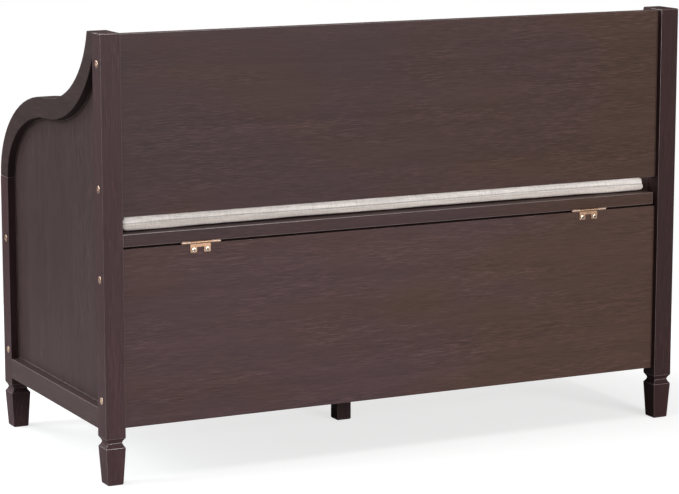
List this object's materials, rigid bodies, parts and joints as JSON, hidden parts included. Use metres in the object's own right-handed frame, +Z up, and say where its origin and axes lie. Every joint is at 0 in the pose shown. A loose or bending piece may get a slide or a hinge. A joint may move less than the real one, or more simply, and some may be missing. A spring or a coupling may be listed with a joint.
{
  "type": "storage bench",
  "caption": "Wooden storage bench with curved arms, a plain two-board back and a lift-up lid with a loose seat cushion.",
  "frame": {"origin": "centre of the footprint, on the floor", "axes": "+X to the sitter's left along the bench, +Y to the back, +Z up; the seat faces -Y"},
  "size_m": [1.0816, 0.482, 0.7315],
  "materials": {
    "espresso_wood": "satin, dark stain over fine grain",
    "store_floor": "matt stained plywood",
    "cushion_fabric": "linen-like weave",
    "bolt_bronze": "antique bronze",
    "hinge_brass": "antique brass",
    "stay_steel": "zinc plated",
    "stay_plastic": "matt",
    "bumper_rubber": "matt"
  },
  "bodies": {
    "root": {"rear_left_post": "espresso_wood", "front_left_post": "espresso_wood", "left_arm": "espresso_wood", "left_bottom_rail": "espresso_wood", "left_side_panel": "espresso_wood", "rear_right_post": "espresso_wood", "front_right_post": "espresso_wood", "right_arm": "espresso_wood", "right_bottom_rail": "espresso_wood", "right_side_panel": "espresso_wood", "lower_back_panel": "espresso_wood", "upper_back_panel": "espresso_wood", "front_left_stile": "espresso_wood", "front_right_stile": "espresso_wood", "front_centre_stile": "espresso_wood", "front_top_rail": "espresso_wood", "front_bottom_rail": "espresso_wood", "front_left_panel": "espresso_wood", "front_right_panel": "espresso_wood", "floor_panel": "store_floor", "rear_cleat": "espresso_wood", "front_cleat": "espresso_wood", "centre_rail": "espresso_wood", "centre_foot": "espresso_wood", "rear_left_bolt_1": "bolt_bronze", "rear_left_bolt_2": "bolt_bronze", "rear_left_bolt_3": "bolt_bronze", "rear_left_bolt_4": "bolt_bronze", "front_left_bolt_1": "bolt_bronze", "front_left_bolt_2": "bolt_bronze", "rear_right_bolt_1": "bolt_bronze", "rear_right_bolt_2": "bolt_bronze", "rear_right_bolt_3": "bolt_bronze", "rear_right_bolt_4": "bolt_bronze", "front_right_bolt_1": "bolt_bronze", "front_right_bolt_2": "bolt_bronze", "left_hinge_fixed_leaf": "hinge_brass", "right_hinge_fixed_leaf": "hinge_brass", "left_hinge_pin": "hinge_brass", "right_hinge_pin": "hinge_brass", "left_hinge_outer_screw": "hinge_brass", "left_hinge_inner_screw": "hinge_brass", "right_hinge_outer_screw": "hinge_brass", "right_hinge_inner_screw": "hinge_brass", "left_lid_bumper": "bumper_rubber", "right_lid_bumper": "bumper_rubber", "left_stay_body": "stay_plastic", "right_stay_body": "stay_plastic"},
    "lid": {"lid": "espresso_wood", "left_hinge_lid_leaf": "hinge_brass", "right_hinge_lid_leaf": "hinge_brass", "left_stay_bracket": "stay_steel", "right_stay_bracket": "stay_steel"},
    "cushion": {"seat_cushion": "cushion_fabric"},
    "left_stay_arm": {"left_stay_arm": "stay_steel"},
    "left_stay_link": {"left_stay_link": "stay_steel"},
    "right_stay_arm": {"right_stay_arm": "stay_steel"},
    "right_stay_link": {"right_stay_link": "stay_steel"}
  },
  "joints": [
    {"name": "lid_hinge", "type": "hinge", "parent": "root", "child": "lid", "pos_m": [0, 0.2338, 0.387], "axis": [-1, 0, 0], "range_deg": [0, 43]},
    {"name": "cushion_slide", "type": "slide", "parent": "lid", "child": "cushion", "axis": [0, -1, 0], "range_m": [0, 0.0605]},
    {"name": "left_stay_pivot", "type": "hinge", "parent": "root", "child": "left_stay_arm", "pos_m": [0.493, 0.1838, 0.317], "axis": [-1, 0, 0], "range_deg": [0, 43]},
    {"name": "left_stay_elbow", "type": "hinge", "parent": "left_stay_arm", "child": "left_stay_link", "pos_m": [0.4885, -0.0062, 0.3055], "axis": [-1, 0, 0], "range_deg": [-43, 0]},
    {"name": "right_stay_pivot", "type": "hinge", "parent": "root", "child": "right_stay_arm", "pos_m": [-0.493, 0.1838, 0.317], "axis": [-1, 0, 0], "range_deg": [0, 43]},
    {"name": "right_stay_elbow", "type": "hinge", "parent": "right_stay_arm", "child": "right_stay_link", "pos_m": [-0.4885, -0.0062, 0.3055], "axis": [-1, 0, 0], "range_deg": [-43, 0]}
  ],
  "couplings": [
    {"joint": "cushion_slide", "follows": "lid_hinge", "m_per_rad": 0.08},
    {"joint": "left_stay_pivot", "follows": "lid_hinge", "ratio": 1},
    {"joint": "left_stay_elbow", "follows": "lid_hinge", "ratio": -1},
    {"joint": "right_stay_pivot", "follows": "lid_hinge", "ratio": 1},
    {"joint": "right_stay_elbow", "follows": "lid_hinge", "ratio": -1}
  ]
}
